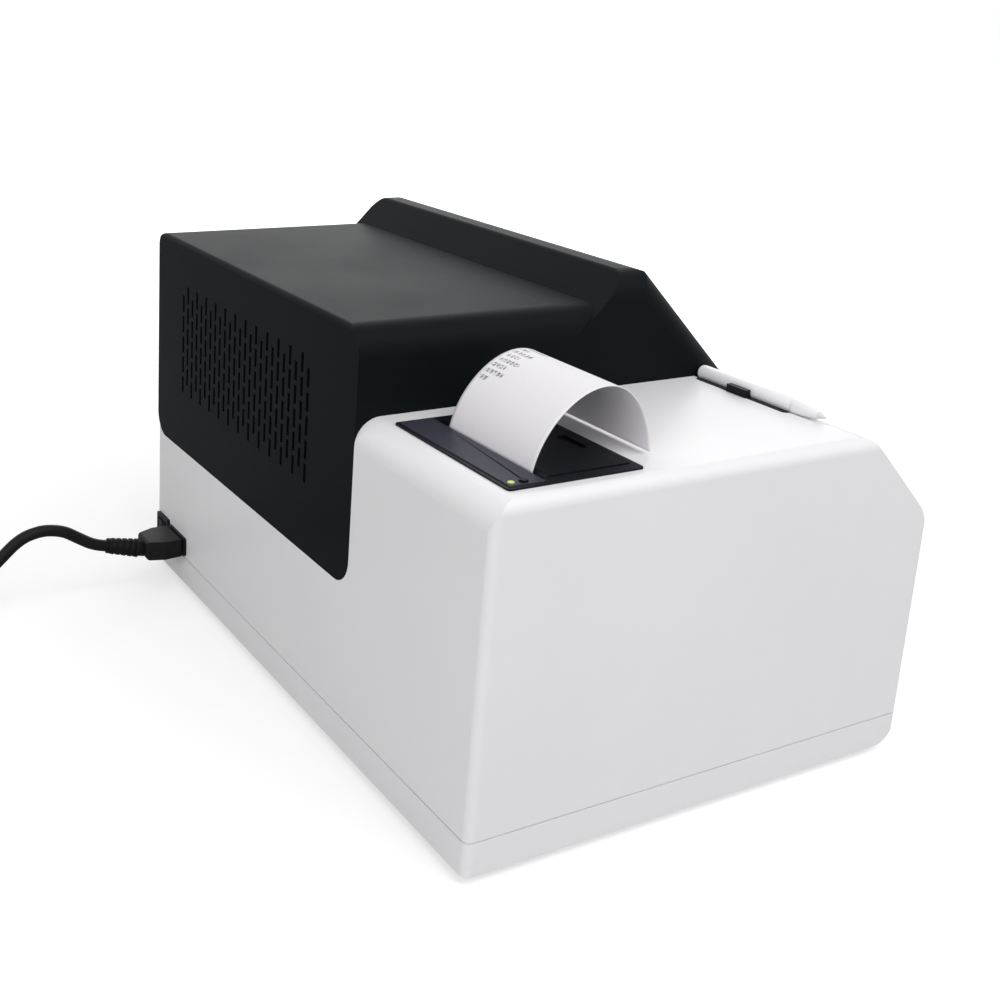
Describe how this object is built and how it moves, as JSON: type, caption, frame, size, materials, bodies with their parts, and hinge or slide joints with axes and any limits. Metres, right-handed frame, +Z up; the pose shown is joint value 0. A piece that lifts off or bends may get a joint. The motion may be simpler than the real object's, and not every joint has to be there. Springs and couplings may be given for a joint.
{
  "type": "benchtop immunoassay analyzer",
  "caption": "Benchtop strip analyzer: white case with black vented hood, sloped touch screen, panel printer with paper, stylus in a clip, strip drawer and reading head.",
  "frame": {"origin": "on the table under the middle of the case", "axes": "+Z up, front of the instrument towards -Y, rear with mains inlet and grille towards +Y, printer on the -X side"},
  "size_m": [0.416, 0.422, 0.1955],
  "materials": {
    "case_white": "satin",
    "hood_black": "satin",
    "black_plastic": "satin",
    "slate_plastic": "satin",
    "pen_white": "gloss",
    "lamp": "gloss",
    "paper": "matte",
    "screen_glass": "gloss",
    "display": "satin",
    "rubber": "matte",
    "lead_black": "satin",
    "steel": "satin",
    "zinc_sheet": "satin",
    "motor_dark": "satin",
    "tray_grey": "satin",
    "carriage": "satin",
    "window": "gloss",
    "board_green": "satin"
  },
  "bodies": {
    "analyzer": {"base_tray": "case_white", "rubber_feet": "rubber", "body_shell": "case_white", "case_screws": "steel", "hood": "hood_black", "touch_glass": "screen_glass", "screen_gasket": "display", "lcd_panel": "display", "printer_frame": "black_plastic", "printer_strip": "slate_plastic", "print_head": "zinc_sheet", "status_led": "lamp", "paper_strip": "paper", "stylus_clip": "black_plastic", "chassis_plate": "zinc_sheet", "chassis_screws": "steel", "drawer_rails": "zinc_sheet", "drawer_brackets": "zinc_sheet", "drawer_motor": "motor_dark", "drawer_belt": "rubber", "rod_brackets": "zinc_sheet", "guide_rods": "steel", "head_brackets": "zinc_sheet", "head_motor": "motor_dark", "head_belt": "rubber", "fan_frame": "black_plastic", "fan_screws": "steel", "power_inlet": "black_plastic", "switch_housing": "black_plastic", "power_supply": "motor_dark", "main_board": "board_green", "board_standoffs": "steel", "lead_connector": "lead_black", "cord_lead": "lead_black", "cord_coil": "lead_black", "cord_tie": "lead_black", "mains_plug": "lead_black"},
    "drawer": {"drawer_front": "case_white", "strip_tray": "tray_grey", "drawer_runners": "steel", "drawer_clamp": "carriage"},
    "drawer_drive_pulley": {"drawer_pulley": "steel"},
    "drawer_idler_pulley": {"drawer_idler": "steel"},
    "reading_head": {"head_carriage": "carriage", "detector_housing": "black_plastic", "detector_window": "window"},
    "head_drive_pulley": {"head_pulley": "steel"},
    "head_idler_pulley": {"head_idler": "steel"},
    "fan": {"fan_rotor": "black_plastic"},
    "paper_door": {"printer_door": "black_plastic"},
    "platen": {"platen_roller": "rubber"},
    "roll": {"paper_roll": "paper"},
    "button": {"feed_button": "black_plastic"},
    "pen": {"stylus": "pen_white"},
    "rocker": {"switch_rocker": "black_plastic"}
  },
  "joints": [
    {"name": "drawer_slide", "type": "slide", "parent": "analyzer", "child": "drawer", "axis": [0, -1, 0], "range_m": [0, 0.105]},
    {"name": "drawer_pulley_turn", "type": "hinge", "parent": "analyzer", "child": "drawer_drive_pulley", "pos_m": [-0.0355, 0.075, 0.033], "axis": [1, 0, 0], "range_deg": [-10, 700]},
    {"name": "drawer_idler_turn", "type": "hinge", "parent": "analyzer", "child": "drawer_idler_pulley", "pos_m": [-0.0355, -0.081, 0.033], "axis": [1, 0, 0], "range_deg": [-10, 700]},
    {"name": "head_slide", "type": "slide", "parent": "analyzer", "child": "reading_head", "axis": [1, 0, 0], "range_m": [-0.0525, 0.0525]},
    {"name": "head_pulley_turn", "type": "hinge", "parent": "analyzer", "child": "head_drive_pulley", "pos_m": [0.13, 0.059, 0.083], "axis": [0, 1, 0], "range_deg": [-345, 345]},
    {"name": "head_idler_turn", "type": "hinge", "parent": "analyzer", "child": "head_idler_pulley", "pos_m": [-0.0192, 0.059, 0.083], "axis": [0, 1, 0], "range_deg": [-345, 345]},
    {"name": "fan_spin", "type": "hinge", "parent": "analyzer", "child": "fan", "pos_m": [0.054, 0.08619, 0.1335], "axis": [0, 1, 0], "continuous": true},
    {"name": "paper_door_hinge", "type": "hinge", "parent": "analyzer", "child": "paper_door", "pos_m": [-0.115, 0.0734, 0.1453], "axis": [-1, 0, 0], "range_deg": [0, 45]},
    {"name": "platen_turn", "type": "hinge", "parent": "analyzer", "child": "platen", "pos_m": [-0.115, 0.0814, 0.1345], "axis": [-1, 0, 0], "continuous": true},
    {"name": "paper_roll_turn", "type": "hinge", "parent": "analyzer", "child": "roll", "pos_m": [-0.115, 0.0565, 0.1225], "axis": [1, 0, 0], "continuous": true},
    {"name": "feed_button_press", "type": "slide", "parent": "analyzer", "child": "button", "axis": [0, 0, -1], "range_m": [0, 0.0008], "stiffness_N_per_m": 300},
    {"name": "stylus_lift", "type": "slide", "parent": "analyzer", "child": "pen", "axis": [0, 0, 1], "range_m": [0, 0.03]},
    {"name": "switch_rock", "type": "hinge", "parent": "analyzer", "child": "rocker", "pos_m": [0.15225, 0.10687, 0.02406], "axis": [0, -0.0297, 0.9996], "range_deg": [-20, 0]}
  ],
  "couplings": [
    {"joint": "drawer_pulley_turn", "follows": "drawer_slide", "rad_per_m": 111.11},
    {"joint": "drawer_idler_turn", "follows": "drawer_slide", "rad_per_m": 111.11},
    {"joint": "head_pulley_turn", "follows": "head_slide", "rad_per_m": 111.11},
    {"joint": "head_idler_turn", "follows": "head_slide", "rad_per_m": 111.11},
    {"joint": "platen_turn", "follows": "paper_roll_turn", "ratio": 3.1111}
  ]
}
